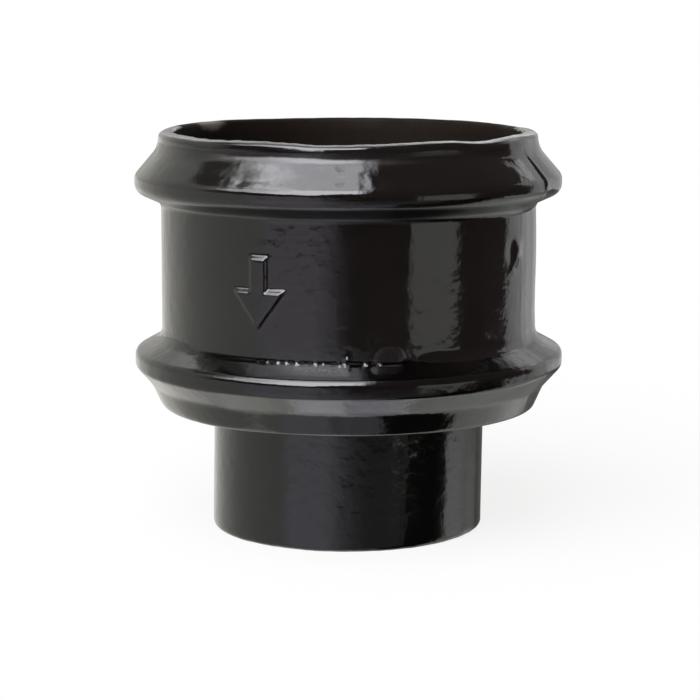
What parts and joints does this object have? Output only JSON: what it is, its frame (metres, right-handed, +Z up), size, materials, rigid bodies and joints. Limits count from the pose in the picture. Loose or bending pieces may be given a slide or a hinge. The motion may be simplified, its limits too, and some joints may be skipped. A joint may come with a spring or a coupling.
{
  "type": "downpipe socket",
  "caption": "Round cast iron downpipe socket with a short spigot, two moulded bead rings and a plain rim, painted gloss black.",
  "frame": {"origin": "centre of the spigot's end face, which is the lowest point of the part", "axes": "+Z up the flow axis from the spigot to the socket's rim; -Y faces the side with the raised flow arrow; +X is to its right"},
  "size_m": [0.1152, 0.1152, 0.107],
  "materials": {
    "painted_iron": "gloss black paint over cast skin"
  },
  "bodies": {
    "root": {"socket_casting": "painted_iron"}
  },
  "joints": []
}
